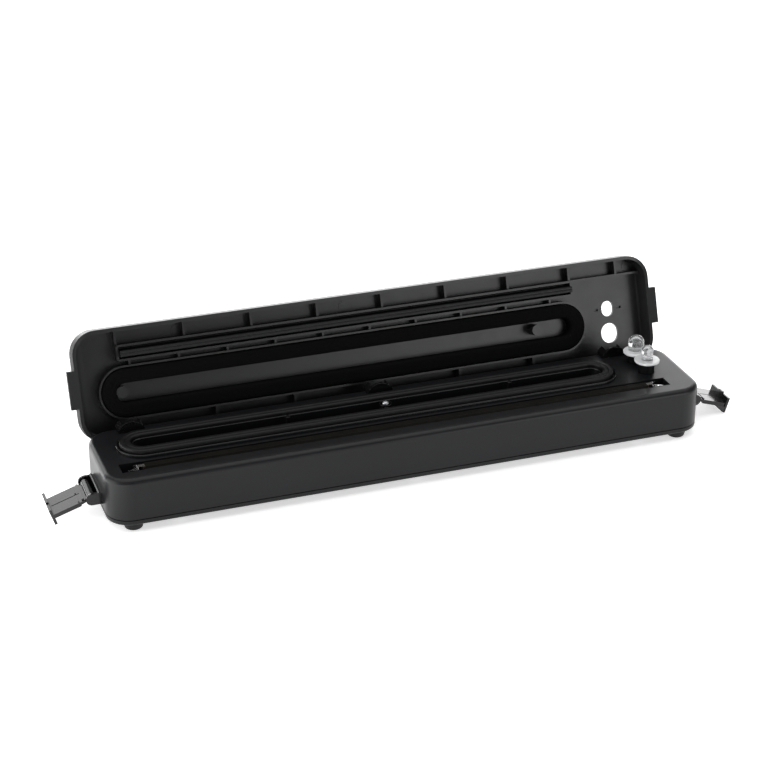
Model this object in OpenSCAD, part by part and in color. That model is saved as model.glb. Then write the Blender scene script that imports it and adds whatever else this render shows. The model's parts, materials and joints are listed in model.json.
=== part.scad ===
// Vacuum sealer: a long base with a heat-seal strip, a gasketed vacuum channel and a hinged lid
// that two side latches hold shut. Millimetres, +Z up, +Y towards the hinge.
// The origin is on the standing plane, under the middle of the base.

/* [Body] */
// Length of base and lid
body_l = 360; // [340:1:380]
// Depth of base and lid
body_d = 65; // [65:0.5:70]
// Height of the deck above the standing plane
deck_z = 32.5; // [32.5:0.5:36]
// Height of the lid from rim to top
lid_h = 14.8; // [14.8:0.1:17]
// Radius of the plan corners
corner_r = 14; // [12:0.5:16]
// Rounding of the deck edge
deck_edge_r = 3.2; // [2:0.1:3.6]
// Rounding of the lid's top edge
lid_edge_r = 4; // [3:0.1:4.4]
// Wall thickness of the shells
wall = 2.2; // [2:0.1:2.4]

/* [Lid] */
// Angle that the lid stands open
open_angle = 109.5; // [90:0.5:110]
// Distance from one front stiffening rib to the next
front_rib_pitch = 40.5; // [36:0.5:41]
// Distance from one short rib to the next
short_rib_pitch = 29.2; // [26:0.1:29.2]

/* [Vacuum chamber] */
// Outside length of the oval lip on the deck
lip_l = 305.5; // [280:0.5:306]
// Outside depth of the oval lip on the deck
lip_d = 31; // [30:0.5:31]
// Height of the base gasket above the deck
gasket_rise = 3.8; // [2:0.1:3.8]
// Width of the base gasket's ring
gasket_w = 6.5; // [5:0.1:7]

/* [Seal strip] */
// Width of the heated bar
heater_w = 4; // [3:0.1:5]
// Width of the release tape over the bar
tape_w = 8.6; // [7:0.1:8.6]

/* [Latches and buttons] */
// Length of a latch lever from its pin to its hook
lever_l = 22.5; // [22.4:0.1:23]
// Width of a latch lever
lever_w = 19.5; // [16:0.5:20]
// Angle of an open lever below the horizontal
lever_droop = 18; // [10:1:19]
// Travel of a button
button_travel = 1.1; // [0.8:0.1:1.2]

/* [Hidden] */

$fn = 48;
eps = 0.01;

// Base levels
foot_h = 4.5;
split_z = 8;
cover_t = 2;
cover_edge_r = 1.5;
split_gap = 0.5;
half_l = body_l / 2;
half_d = body_d / 2;

// Lid levels, given with the lid shut
rim_gap = 0.2;
rim_z = deck_z + rim_gap;
lid_top_z = rim_z + lid_h;
lid_wall = 2;
lid_floor_z = lid_top_z - lid_wall;

// Hinge
hinge_y = half_d - 2.9;
hinge_z = deck_z - 5;
hinge_xs = [-154, -4.4, 147];
hinge_pin_r = 1.25;
running_gap = 0.05;
knuckle_r = 2.6;
arm_w = 9;
arm_t = 3.2;
arm_rise = 14;
notch_w = 15.4;
notch_floor_z = hinge_z - 4.5;
notch_front_y = hinge_y - 5;
well_wall = 1.8;
ear_out = notch_w / 2 - 0.1;
ear_in = arm_w / 2 + 0.5;
hood_t = 1.2;
hood_top_z = deck_z + 6.3;
hood_r = 8.6;

// Vacuum oval
oval_cx = -14.4;
oval_cy = 6;
lip_w = 1.4;
lip_rise = 1.8;
lip_gap = 0.7;
gasket_seat = 1.5;
channel_depth = 7;
gasket_l = lip_l - 2 * (lip_w + lip_gap);
gasket_d = lip_d - 2 * (lip_w + lip_gap);
inner_lip_w = 1.1;
inner_lip_gap = 0.3;
inner_lip_l = gasket_l - 2 * (gasket_w + inner_lip_gap);
inner_lip_d = gasket_d - 2 * (gasket_w + inner_lip_gap);
channel_l = inner_lip_l - 2 * inner_lip_w;
channel_d = inner_lip_d - 2 * inner_lip_w;
channel_z = deck_z - channel_depth;
under_t = 1.6;
nozzle_x = -7.8;
nozzle_h = 11;
nozzle_head_r = 3;
nozzle_brim_r = 3.7;
peg_xs = [-67, 70];
peg_h = 10.9;

// Lid foam ring and its holder
holder_l = 302.6;
holder_d = 29.2;
foam_inset = 0.6;
foam_l = holder_l - 2 * foam_inset;
foam_d = holder_d - 2 * foam_inset;
foam_w = 8.2;
foam_gap = 0.3;
holder_t = 1.1;
holder_h = 7.4;

// Seal strip
strip_y = -16.8;
strip_x0 = -157.4;
strip_x1 = 149.6;
strip_cx = (strip_x0 + strip_x1) / 2;
strip_len = strip_x1 - strip_x0;
slot_w = 9.2;
slot_depth = 3;
pocket_l = 12.4;
pocket_w = 10;
pocket_depth = 9;
wire_w = 2.5;
wire_t = 0.15;
clip_x = 2.6;
tape_t = 0.2;
heater_top_z = deck_z + 0.2;
press_w = 3.6;
press_gap = 0.3;

// Latches
tab_out = 4.3;
tab_w = 22;
tab_t = 3;
latch_pin_r = 1.1;
latch_x = half_l + 5.6;
latch_z = 13.5;
bracket_w = 23.4;
cheek_t = 1.7;
cheek_r = 3.4;
pin_skin = 0.5;
lever_t = 1.8;
lever_offset = -0.4;
hook_t = 1.6;
hook_in = 4.2;
grip_out = 4.2;

// Buttons, and the slots for their caps in the lid
button_x = 156.5;
front_button_y = -0.5;
rear_button_y = 14.8;
plunger_r = 4.7;
plunger_gap = 0.3;
flange_r = 7.6;
flange_t = 1.3;
front_flange_z = deck_z + 6.8;
rear_flange_z = deck_z + 5.8;
front_rod_r = 3.5;
rear_dome_r = 4.8;
button_top_z = lid_top_z + 2.4;
front_slot_l = 2 * front_rod_r + 2.6;
front_slot_w = 2 * front_rod_r + 0.8;
rear_slot_l = 2 * rear_dome_r + 2.8;
rear_slot_w = 2 * rear_dome_r + 1.6;
switch_top_z = 22;

// Inlet
inlet_x = 120;
inlet_z = 18.5;
inlet_w = 16;
inlet_h = 9;
inlet_depth = 11;
inlet_pin_r = 1.2;
inlet_pin_pitch = 8.6;

// Feet, cover screws and the posts they go into
foot_xs = [-166, 166];
foot_ys = [-25, 25];
screw_xs = [-140, 0, 140];
screw_ys = [-26.5, 18];
screw_post_r = 3.2;
post_r = 2.6;

// Pump, and the power and control boards, on the bottom cover's floor
inner_z = foot_h + cover_t;
motor_x = -62;
motor_r = 9.6;
motor_l = 30;
motor_y = -19.2;
motor_z = inner_z + motor_r + 0.6;
head_l = 22;
head_x = motor_x + motor_l;
clamp_x = motor_x + 8;
clamp_w = 8;
clamp_t = 1.2;
clamp_screw_x = clamp_x + clamp_w / 2;
clamp_screw_y = motor_y + motor_r + 4;
board_z = inner_z + 2;
board_t = 1.6;
board_screw_xs = [27, 123];
board_screw_ys = [-25, -6];
panel_z = switch_top_z - 3.6 - board_t;
panel_screw_x = 170;
panel_screw_ys = [-5.8, 22];

// Lid ribs, given with the lid shut
rib_t = 1.3;
front_rib_h = 6;
rear_rib_h = 6.4;
rear_rib_t = 1.7;
strip_wall_h = 8.4;
long_rib_y = -21.2;
back_wall_y = -12.9;
first_rib_x = -153.4;
last_front_rib_x = 161.6;
first_short_x = -146.7;
lid_in_y = half_d - lid_wall;
lid_in_x = half_l - lid_wall;
rear_rib_xs = [-99, -51.2, 53.2, 101.5];
post_xs = [-153.4, 105.2];
post_y = oval_cy - 0.6;
post_h = 8.5;
lid_post_r = 3.4;
ejector_xs = [-116.3, -13.8, 88.7, 171.5];
ejector_y = -25.2;
foam_z = deck_z + gasket_rise + foam_gap;

black = "#1b1c1e";
charcoal = "#2b2c2e";

// ---- Shared shapes -------------------------------------------------------------------------

// Half of a slab's section: a square with a rounded outer top and bottom corner
module half_section(half, h, top_r, bottom_r) {
    in_r = max(top_r, bottom_r);
    square([half - in_r, h]);
    translate([0, bottom_r]) square([half, h - top_r - bottom_r]);
    if (top_r > 0) {
        translate([half - top_r, h - top_r]) circle(top_r);
        translate([0, h / 2]) square([half - top_r, h / 2]);
    }
    if (bottom_r > 0) {
        translate([half - bottom_r, bottom_r]) circle(bottom_r);
        square([half - bottom_r, h / 2]);
    }
}

module full_section(half, h, top_r, bottom_r) {
    half_section(half, h, top_r, bottom_r);
    mirror([1, 0]) half_section(half, h, top_r, bottom_r);
}

// A slab with round plan corners and rounded top and bottom edges
module slab(l, d, h, plan_r, top_r = 0, bottom_r = 0) {
    rotate([90, 0, 90])
        linear_extrude(l - 2 * plan_r, center = true) full_section(d / 2, h, top_r, bottom_r);
    rotate([90, 0, 0])
        linear_extrude(d - 2 * plan_r, center = true) full_section(l / 2, h, top_r, bottom_r);
    for (sx = [-1, 1], sy = [-1, 1])
        translate([sx * (l / 2 - plan_r), sy * (d / 2 - plan_r), 0])
            rotate_extrude($fn = 96)
                intersection() {
                    half_section(plan_r, h, top_r, bottom_r);
                    square([plan_r, h]);
                }
}

// A flat oval: a bar with full round ends
module oval(l, d, h) {
    translate([-(l - d) / 2, -d / 2, 0]) cube([l - d, d, h]);
    for (sx = [-1, 1])
        translate([sx * (l - d) / 2, 0, 0]) cylinder(h = h, d = d, $fn = 96);
}

module oval_ring(l, d, w, h) {
    difference() {
        oval(l, d, h);
        translate([0, 0, -1]) oval(l - 2 * w, d - 2 * w, h + 2);
    }
}

// An oval lip with a rounded top
module bead_ring(l, d, w, h) {
    end_x = (l - d) / 2;
    for (s = [-1, 1]) {
        rotate([90, 0, 90]) linear_extrude(2 * end_x, center = true)
            translate([s * (d - w) / 2, 0]) bead_section(w, h);
        translate([s * end_x, 0, 0]) rotate([0, 0, -90 * s])
            rotate_extrude(angle = 180, $fn = 96) translate([(d - w) / 2, 0]) bead_section(w, h);
    }
}

module bead_section(w, h) {
    translate([-w / 2, 0]) square([w, h - w / 2]);
    translate([0, h - w / 2]) circle(w / 2);
}

module box(x0, x1, y0, y1, z0, z1) {
    translate([x0, y0, z0]) cube([x1 - x0, y1 - y0, z1 - z0]);
}

// A bar along X, from its start to its end
module x_rod(x, y, z, r, l) {
    translate([x, y, z]) rotate([0, 90, 0]) cylinder(h = l, r = r);
}

module y_rod(x, y, z, r, l) {
    translate([x, y, z]) rotate([-90, 0, 0]) cylinder(h = l, r = r);
}

module at_oval() {
    translate([oval_cx, oval_cy, 0]) children();
}

// Turns what is drawn with the lid shut to where it stands open
module lid_open() {
    translate([0, hinge_y, hinge_z]) rotate([-open_angle, 0, 0])
        translate([0, -hinge_y, -hinge_z]) children();
}

// ---- Base ----------------------------------------------------------------------------------

module housing_skin() {
    difference() {
        translate([0, 0, split_z])
            slab(body_l, body_d, deck_z - split_z, corner_r, deck_edge_r);
        translate([0, 0, split_z - 1])
            slab(body_l - 2 * wall, body_d - 2 * wall, deck_z - split_z - wall + 1,
                 corner_r - wall);
    }
}

// Blocks under the deck that hold the channel, the strip slot, the pockets and the hinge wells
module housing_blocks() {
    under_deck = deck_z - wall / 2;
    at_oval()
        translate([0, 0, channel_z - under_t])
            oval(channel_l + 2 * under_t, channel_d + 2 * under_t,
                 under_deck - channel_z + under_t);
    at_oval() translate([0, 0, deck_z - eps]) {
        bead_ring(lip_l, lip_d, lip_w, lip_rise + eps);
        bead_ring(inner_lip_l, inner_lip_d, inner_lip_w, lip_rise + eps);
    }
    box(strip_x0 - eps, strip_x1 + eps, strip_y - slot_w / 2 - under_t,
        strip_y + slot_w / 2 + under_t, deck_z - slot_depth - under_t, under_deck);
    for (x = [strip_x0 - pocket_l, strip_x1])
        box(x - under_t, x + pocket_l + under_t, strip_y - pocket_w / 2 - under_t,
            strip_y + pocket_w / 2 + under_t, deck_z - pocket_depth - under_t, under_deck);
    for (x = hinge_xs)
        box(x - notch_w / 2 - well_wall, x + notch_w / 2 + well_wall,
            notch_front_y - well_wall, half_d - wall / 2, notch_floor_z - under_t, under_deck);
    for (x = screw_xs, y = screw_ys)
        translate([x, y, split_z]) cylinder(h = under_deck - split_z, r = screw_post_r);
}

module main_housing() {
    color(charcoal) difference() {
        union() {
            housing_skin();
            housing_blocks();
        }
        at_oval()
            translate([0, 0, deck_z - gasket_seat])
                oval_ring(gasket_l, gasket_d, gasket_w, gasket_seat + lip_rise);
        at_oval() translate([0, 0, channel_z]) oval(channel_l, channel_d, channel_depth + 1);
        translate([nozzle_x, oval_cy, channel_z - under_t - 1]) cylinder(h = 4, r = 2);
        for (x = peg_xs)
            translate([x, oval_cy, channel_z - under_t - 1]) cylinder(h = 4, r = 1.2);
        box(strip_x0, strip_x1, strip_y - slot_w / 2, strip_y + slot_w / 2,
            deck_z - slot_depth, deck_z + 1);
        for (x = [strip_x0 - pocket_l, strip_x1])
            box(x, x + pocket_l, strip_y - pocket_w / 2, strip_y + pocket_w / 2,
                deck_z - pocket_depth, deck_z + 1);
        for (x = hinge_xs)
            box(x - notch_w / 2, x + notch_w / 2, notch_front_y, half_d + 1,
                notch_floor_z, deck_z + 1);
        for (y = [front_button_y, rear_button_y])
            translate([button_x, y, deck_z - wall - 1])
                cylinder(h = wall + 2, r = plunger_r + plunger_gap);
        for (x = screw_xs, y = screw_ys)
            translate([x, y, split_z - 1]) cylinder(h = 11, r = 1.35);
        translate([inlet_x, half_d - wall / 2, inlet_z])
            cube([inlet_w + 0.2, wall + 2, inlet_h + 0.2], center = true);
    }
}

// The cover's hollow, less the posts that carry the two circuit boards
module cover_hollow() {
    inset = 2 * (wall + 1.7);
    difference() {
        translate([0, 0, inner_z])
            slab(body_l - inset, body_d - inset, split_z, corner_r - wall - 1.7);
        for (x = board_screw_xs, y = board_screw_ys)
            translate([x, y, inner_z - 1]) cylinder(h = board_z - inner_z + 1, r = post_r);
        for (y = panel_screw_ys)
            translate([panel_screw_x, y, inner_z - 1]) cylinder(h = panel_z - inner_z + 1, r = post_r);
    }
}

module bottom_cover() {
    color(charcoal) difference() {
        union() {
            translate([0, 0, foot_h])
                slab(body_l, body_d, split_z - split_gap - foot_h, corner_r, 0, cover_edge_r);
            for (y = panel_screw_ys)
                translate([panel_screw_x, y, inner_z - eps])
                    cylinder(h = panel_z - inner_z + eps, r = post_r);
            lip_inset = 2 * (wall + 0.15);
            translate([0, 0, split_z - split_gap - 1])
                slab(body_l - lip_inset, body_d - lip_inset, split_gap + 3,
                     corner_r - wall - 0.15);
        }
        cover_hollow();
        for (x = screw_xs, y = screw_ys) translate([x, y, foot_h - 1]) {
            cylinder(h = cover_t + 2, r = 1.6);
            cylinder(h = 2.4, r = 3.1);
            translate([0, 0, split_z - split_gap - foot_h + 1])
                cylinder(h = 5, r = screw_post_r + 0.3);
        }
        translate([clamp_screw_x, clamp_screw_y, inner_z - 1]) cylinder(h = 3, r = 1.3);
        for (x = foot_xs, y = foot_ys)
            translate([x, y, foot_h - 1]) cylinder(h = cover_t + 2, r = 2.25);
        for (x = board_screw_xs, y = board_screw_ys)
            translate([x, y, inner_z]) cylinder(h = board_z - inner_z + 1, r = 1.3);
        for (y = panel_screw_ys)
            translate([panel_screw_x, y, inner_z]) cylinder(h = 12, r = 1.15);
    }
}

module rubber_feet() {
    color(black) for (x = foot_xs, y = foot_ys) translate([x, y, 0]) {
        cylinder(h = 0.8, r1 = 4.8, r2 = 5.4);
        translate([0, 0, 0.8]) cylinder(h = foot_h - 0.8, r1 = 5.4, r2 = 5.9);
        translate([0, 0, foot_h - eps]) cylinder(h = cover_t, r = 2.2);
        translate([0, 0, foot_h + cover_t - eps]) cylinder(h = 1.2, r1 = 3, r2 = 1.8);
    }
}

module cross_screw(shank_r, shank_l, head_r, head_h) {
    difference() {
        union() {
            cylinder(h = head_h, r = head_r);
            translate([0, 0, head_h - eps]) cylinder(h = shank_l, r = shank_r);
        }
        for (a = [0, 90])
            rotate([0, 0, a]) translate([-head_r * 0.6, -0.35, -1])
                cube([head_r * 1.2, 0.7, 1 + head_h * 0.5]);
    }
}

module cover_screws() {
    color("silver") for (x = screw_xs, y = screw_ys)
        translate([x, y, foot_h + 0.1]) cross_screw(1.3, 11, 2.9, 1.2);
}

module base_gasket() {
    color("#17181a") at_oval() {
        translate([0, 0, deck_z - gasket_seat])
            oval_ring(gasket_l, gasket_d, gasket_w, gasket_seat + gasket_rise - 0.6);
        translate([0, 0, deck_z + gasket_rise - 0.6 - eps])
            oval_ring(gasket_l - 0.8, gasket_d - 0.8, gasket_w - 0.8, 0.6 + eps);
    }
}

module air_nozzle() {
    color("#3a3b3d") translate([nozzle_x, oval_cy, 0]) difference() {
        union() {
            head_z = channel_z + nozzle_h - nozzle_head_r;
            translate([0, 0, channel_z]) cylinder(h = 1.2, r = 4.6);
            translate([0, 0, channel_z]) cylinder(h = head_z - channel_z, r = nozzle_head_r);
            translate([0, 0, head_z - 0.8]) cylinder(h = 0.8, r = nozzle_brim_r);
            translate([0, 0, head_z]) intersection() {
                sphere(nozzle_head_r);
                cylinder(h = 4, r = 4);
            }
            translate([0, 0, channel_z - 7]) cylinder(h = 7 + eps, r = 2);
        }
        translate([0, 0, channel_z - 8]) cylinder(h = 13, r = 1.1);
        for (a = [0, 90]) translate([0, 0, channel_z + 3.4]) rotate([90, 0, a])
            cylinder(h = 10, r = 0.8, center = true);
    }
}

module bag_stop_pegs() {
    color("#4a4b4d") for (x = peg_xs) translate([x, oval_cy, 0]) {
        translate([0, 0, channel_z]) cylinder(h = peg_h, r1 = 1.8, r2 = 1.5);
        translate([0, 0, channel_z + peg_h - eps]) cylinder(h = 0.5, r1 = 1.5, r2 = 1);
        translate([0, 0, channel_z - under_t]) cylinder(h = under_t + eps, r = 1.2);
    }
}

module heater_bar() {
    color("#26211c") box(strip_x0, strip_x1, strip_y - heater_w / 2, strip_y + heater_w / 2,
                         deck_z - slot_depth, heater_top_z - wire_t);
}

module heating_wire() {
    color("silver") {
        box(strip_x0 - clip_x, strip_x1 + clip_x, strip_y - wire_w / 2, strip_y + wire_w / 2,
            heater_top_z - wire_t, heater_top_z);
        for (x = [strip_x0 - clip_x, strip_x1 + clip_x - wire_t])
            box(x, x + wire_t, strip_y - wire_w / 2, strip_y + wire_w / 2,
                deck_z - 4, heater_top_z - wire_t + eps);
    }
}

// The tape lies over the bar like a hat: a flat top and two skirts down into the slot
module release_tape() {
    half_w = tape_w / 2;
    side = heater_w / 2 + 0.05;
    low_z = deck_z - 1.6;
    color("#3d352a") translate([strip_x0 + 1, strip_y, 0]) rotate([90, 0, 90])
        linear_extrude(strip_len - 2) polygon([
            [-half_w, low_z - 0.6], [-side - 0.4, low_z + 0.8], [-side, heater_top_z],
            [side, heater_top_z], [side + 0.4, low_z + 0.8], [half_w, low_z - 0.6],
            [half_w, low_z - 0.6 + tape_t], [side + 0.6, low_z + 0.8 + tape_t],
            [side + 0.15, heater_top_z + tape_t], [-side - 0.15, heater_top_z + tape_t],
            [-side - 0.6, low_z + 0.8 + tape_t], [-half_w, low_z - 0.6 + tape_t]
        ]);
}

// A bent metal clip in each pocket grips the end of the wire and keeps it tight
module wire_clip() {
    floor_z = deck_z - pocket_depth;
    box(clip_x, clip_x + 0.6, -3.2, 3.2, floor_z, deck_z - 0.9);
    box(clip_x, 9.4, -3.2, 3.2, floor_z, floor_z + 0.6);
    box(clip_x, 6.2, -3.2, -2.4, deck_z - 3.4, deck_z - 0.6);
    box(clip_x, 4.8, 2.4, 3.2, deck_z - 2.9, deck_z - 0.6);
    translate([6.6, 0, floor_z + 0.6 - eps]) cylinder(h = 1.4, r = 1.9);
    translate([clip_x + 0.3, 0, deck_z - 2.4]) rotate([0, 0, -29]) cube([6.4, 0.5, 1.6]);
}

module wire_clips() {
    color("lightgray") {
        translate([strip_x1, strip_y, 0]) wire_clip();
        translate([strip_x0, strip_y, 0]) mirror([1, 0, 0]) wire_clip();
    }
}

// ---- Inside the base -----------------------------------------------------------------------

module pump_motor() {
    color("silver") {
        x_rod(motor_x, motor_y, motor_z, motor_r, motor_l - 3);
        x_rod(motor_x + motor_l - 3 - eps, motor_y, motor_z, motor_r - 1.2, 3);
        x_rod(motor_x - 2, motor_y, motor_z, 3.2, 2 + eps);
    }
}

module pump_head() {
    color("#3a3b3d") {
        box(head_x, head_x + head_l, motor_y - 9.4, motor_y + 9.4,
            inner_z, inner_z + 18);
        x_rod(head_x + head_l - eps, motor_y, motor_z, 7, 3.5);
        y_rod(nozzle_x - 8, motor_y + 9.4 - eps, inner_z + 6, 2, 7);
    }
}

module pump_clamp() {
    color("#55585b") difference() {
        union() {
            x_rod(clamp_x, motor_y, motor_z, motor_r + clamp_t, clamp_w);
            box(clamp_x, clamp_x + clamp_w, motor_y - motor_r + clamp_t, motor_y + motor_r + 7,
                inner_z, inner_z + clamp_t);
        }
        x_rod(clamp_x - 1, motor_y, motor_z, motor_r + eps, clamp_w + 2);
        box(clamp_x - 1, clamp_x + clamp_w + 1, motor_y - 14, motor_y + 18, 0, inner_z);
        translate([clamp_screw_x, clamp_screw_y, inner_z - 1]) cylinder(h = 4, r = 1.4);
    }
}

// Soft tube from the pump head's nipple to the stem of the air nozzle
module vacuum_hose() {
    hose_r = 3;
    bend_r = 5;
    nipple_x = nozzle_x - 8;
    nipple_y = motor_y + 9.4;
    hose_z = inner_z + 6;
    color("lightgray") difference() {
        union() {
            y_rod(nipple_x, nipple_y + 0.4, hose_z, hose_r, oval_cy - bend_r - nipple_y - 0.4);
            translate([nipple_x + bend_r, oval_cy - bend_r, hose_z]) rotate([0, 0, 90])
                rotate_extrude(angle = 90) translate([bend_r, 0]) circle(hose_r);
            x_rod(nipple_x + bend_r, oval_cy, hose_z, hose_r, 5);
            translate([nozzle_x, oval_cy, hose_z]) sphere(hose_r);
            translate([nozzle_x, oval_cy, hose_z]) cylinder(h = channel_z - under_t - hose_z - 0.4,
                                                            r = hose_r);
        }
        y_rod(nipple_x, nipple_y, hose_z, 2 + eps, 7.2);
        translate([nozzle_x, oval_cy, channel_z - 7.2]) cylinder(h = 8, r = 2 + eps);
    }
}

module power_board() {
    color("#1f5a35") difference() {
        box(22, 128, -28.6, -2, board_z, board_z + board_t);
        for (x = board_screw_xs, y = board_screw_ys)
            translate([x, y, board_z - 1]) cylinder(h = board_t + 2, r = 1.6);
    }
}

module transformer() {
    top = board_z + board_t;
    color("#b58b2a") {
        box(52, 76, -27.5, -9, top, top + 4.6);
        box(55, 73, -25.5, -11, top + 4.6 - eps, top + 10.4);
        box(52, 76, -27.5, -9, top + 10.4 - eps, top + 14.4);
    }
}

module capacitors() {
    top = board_z + board_t;
    color("#2a2f57") for (x = [84, 96]) translate([x, -20, top]) {
        cylinder(h = 14, r = 5);
        translate([0, 0, 14 - eps]) cylinder(h = 0.6, r = 4.2);
    }
}

module relay() {
    top = board_z + board_t;
    color("#2c6fa8") box(104, 119, -26, -14, top, top + 13);
}

module control_board() {
    color("#1f5a35") difference() {
        box(144.5, 173, -9, 25, panel_z, panel_z + board_t);
        for (y = panel_screw_ys) translate([panel_screw_x, y, 0]) cylinder(h = 30, r = 1.4);
    }
}

module tact_switches() {
    base_z = panel_z + board_t;
    color("#222222") for (y = [front_button_y, rear_button_y]) translate([button_x, y, 0]) {
        translate([-3, -3, base_z]) cube([6, 6, 2.4]);
        translate([0, 0, base_z + 2.4 - eps]) cylinder(h = 1.2 - 0.02, r = 1.7);
    }
}

module status_leds() {
    base_z = panel_z + board_t;
    color("#d7efe0") for (y = [front_button_y, rear_button_y])
        translate([button_x - 7.5, y, base_z]) {
            cylinder(h = 3, r = 1.5);
            translate([0, 0, 3]) sphere(1.5);
        }
}

module board_screws() {
    color("silver") {
        for (x = board_screw_xs, y = board_screw_ys)
            translate([x, y, board_z + board_t + 1.6]) rotate([180, 0, 0])
                cross_screw(1.25, 3.4, 2.6, 1.6);
        for (y = panel_screw_ys)
            translate([panel_screw_x, y, panel_z + board_t + 1.4]) rotate([180, 0, 0])
                cross_screw(1.1, 4, 2.2, 1.4);
        translate([clamp_screw_x, clamp_screw_y, inner_z + clamp_t + 1.6]) rotate([180, 0, 0])
            cross_screw(1.2, 2, 2.4, 1.6);
    }
}

module power_inlet() {
    mouth_y = half_d;
    color(black) difference() {
        union() {
            translate([inlet_x, mouth_y - inlet_depth / 2 - 0.1, inlet_z])
                cube([inlet_w, inlet_depth + 0.2, inlet_h], center = true);
            translate([inlet_x, mouth_y - wall - 0.9, inlet_z])
                cube([inlet_w + 4, 1.8, inlet_h + 4], center = true);
        }
        translate([inlet_x, mouth_y + 1, inlet_z]) rotate([90, 0, 0])
            oval(inlet_w - 2.4, inlet_h - 2.2, inlet_depth - 1);
    }
}

module inlet_pins() {
    color("silver") for (s = [-1, 1])
        translate([inlet_x + s * inlet_pin_pitch / 2, 0, 0]) {
            y_rod(0, half_d - inlet_depth - 4, inlet_z, inlet_pin_r, inlet_depth + 1.6);
            translate([0, half_d - 2.4, inlet_z]) sphere(inlet_pin_r);
        }
}

// Insulated leads from the power board to the two ends of the heating wire
module heater_leads() {
    lead_r = 0.9;
    lead_y = -6.5;
    lead_z = 20;
    board_top = board_z + board_t;
    color("firebrick") for (span = [[-152, 36], [141, 112]]) {
        far_x = span[0];
        drop_x = span[1];
        x_rod(min(span), lead_y, lead_z, lead_r, abs(drop_x - far_x));
        for (x = span) translate([x, lead_y, lead_z]) sphere(lead_r);
        translate([drop_x, lead_y, board_top]) cylinder(h = lead_z - board_top, r = lead_r);
    }
}

// A domed bracket in each well: two ears that hold the pin, joined by a front plate and a foot
module hinge_brackets() {
    hood_y = notch_front_y + 0.1;
    color(black) for (x = hinge_xs) difference() {
        union() {
            box(x - ear_out, x + ear_out, hood_y, half_d - 0.3, notch_floor_z, deck_z - 0.5);
            intersection() {
                y_rod(x, hood_y, hood_top_z - hood_r, hood_r, half_d - 0.3 - hood_y);
                box(x - ear_out, x + ear_out, hood_y - 1, half_d, deck_z - 0.5 - eps, hood_top_z + 1);
            }
        }
        box(x - ear_in, x + ear_in, hood_y + hood_t, half_d + 1, notch_floor_z + hood_t,
            hood_top_z + 1);
        x_rod(x - ear_out - 1, hinge_y, hinge_z, hinge_pin_r, 2 * ear_out + 2);
    }
}

module hinge_pins() {
    pin_l = 2 * ear_out - 0.4;
    color("silver") for (x = hinge_xs)
        x_rod(x - pin_l / 2, hinge_y, hinge_z, hinge_pin_r, pin_l);
}

// ---- Latches -------------------------------------------------------------------------------

// Drawn for the left side; the pin's axis runs along Y
module latch_bracket() {
    x = -latch_x;
    plate_x = -half_l - 2.2;
    low_z = latch_z - 3.6;
    top_z = latch_z + 3.2;
    web_l = 3;
    web_t = 0.7;
    bead_r = 0.75;
    difference() {
        union() {
            box(plate_x, -half_l, -bracket_w / 2, bracket_w / 2, low_z, top_z);
            box(plate_x - web_l, plate_x + eps, -bracket_w / 2, bracket_w / 2, low_z, low_z + web_t);
            for (y = [-bracket_w / 2, bracket_w / 2 - cheek_t]) {
                y_rod(x, y, latch_z - 0.2, cheek_r, cheek_t);
                box(x, -half_l, y, y + cheek_t, low_z, top_z);
            }
            y_rod(plate_x + bead_r, -bracket_w / 2, top_z, bead_r, bracket_w);
        }
        y_rod(x, -bracket_w / 2 + pin_skin, latch_z, latch_pin_r, bracket_w);
    }
}

// Drawn upright: Z runs from the pin to the hook, +X faces the body when the latch is shut
module latch_lever() {
    barrel_r = 2.5;
    side = lever_w / 2;
    neck = side - 1.1;
    shoulder_z = 6.5;
    tip_z = lever_l + hook_t;
    face_x = -lever_offset;
    back_x = face_x - lever_t;
    rim_w = 1.2;
    groove_w = 0.7;
    translate([-latch_x, 0, latch_z]) rotate([0, -90 - lever_droop, 0])
        difference() {
            union() {
                y_rod(0, -neck, 0, barrel_r, 2 * neck);
                translate([back_x, 0, 0]) rotate([90, 0, 90]) linear_extrude(lever_t) polygon([
                    [-neck, 0], [neck, 0], [neck, 2], [side, shoulder_z], [side, tip_z],
                    [-side, tip_z], [-side, shoulder_z], [-neck, 2]
                ]);
                for (y = [-side, side - rim_w])
                    box(back_x - 0.7, back_x + eps, y, y + rim_w, shoulder_z, tip_z);
                box(back_x - grip_out, hook_in, -side - 0.6, side + 0.6, lever_l, tip_z);
                box(hook_in - eps, hook_in + 0.8, -2.2, 2.2, lever_l, tip_z);
                box(face_x - eps, face_x + 1, -neck, neck, 3.9, 5.3);
                for (y = [-neck, 1.1])
                    box(face_x - eps, face_x + 0.6, y, y + neck - 1.1, 6.9, 7.6);
            }
            y_rod(0, -side - 1, 0, latch_pin_r + running_gap, lever_w + 2);
            box(face_x - 0.5, face_x + 0.4, -groove_w / 2, groove_w / 2, 5.3, lever_l - 0.6);
        }
}

module latch_bracket_left() {
    color(black) latch_bracket();
}

module latch_bracket_right() {
    color(black) mirror([1, 0, 0]) latch_bracket();
}

module latch_lever_left() {
    color(black) latch_lever();
}

module latch_lever_right() {
    color(black) mirror([1, 0, 0]) latch_lever();
}

module latch_pins() {
    start_y = -bracket_w / 2 + pin_skin + 0.1;
    color("silver") for (sx = [-1, 1])
        y_rod(sx * latch_x, start_y, latch_z, latch_pin_r, bracket_w / 2 - 0.3 - start_y);
}

// ---- Lid -----------------------------------------------------------------------------------

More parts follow.
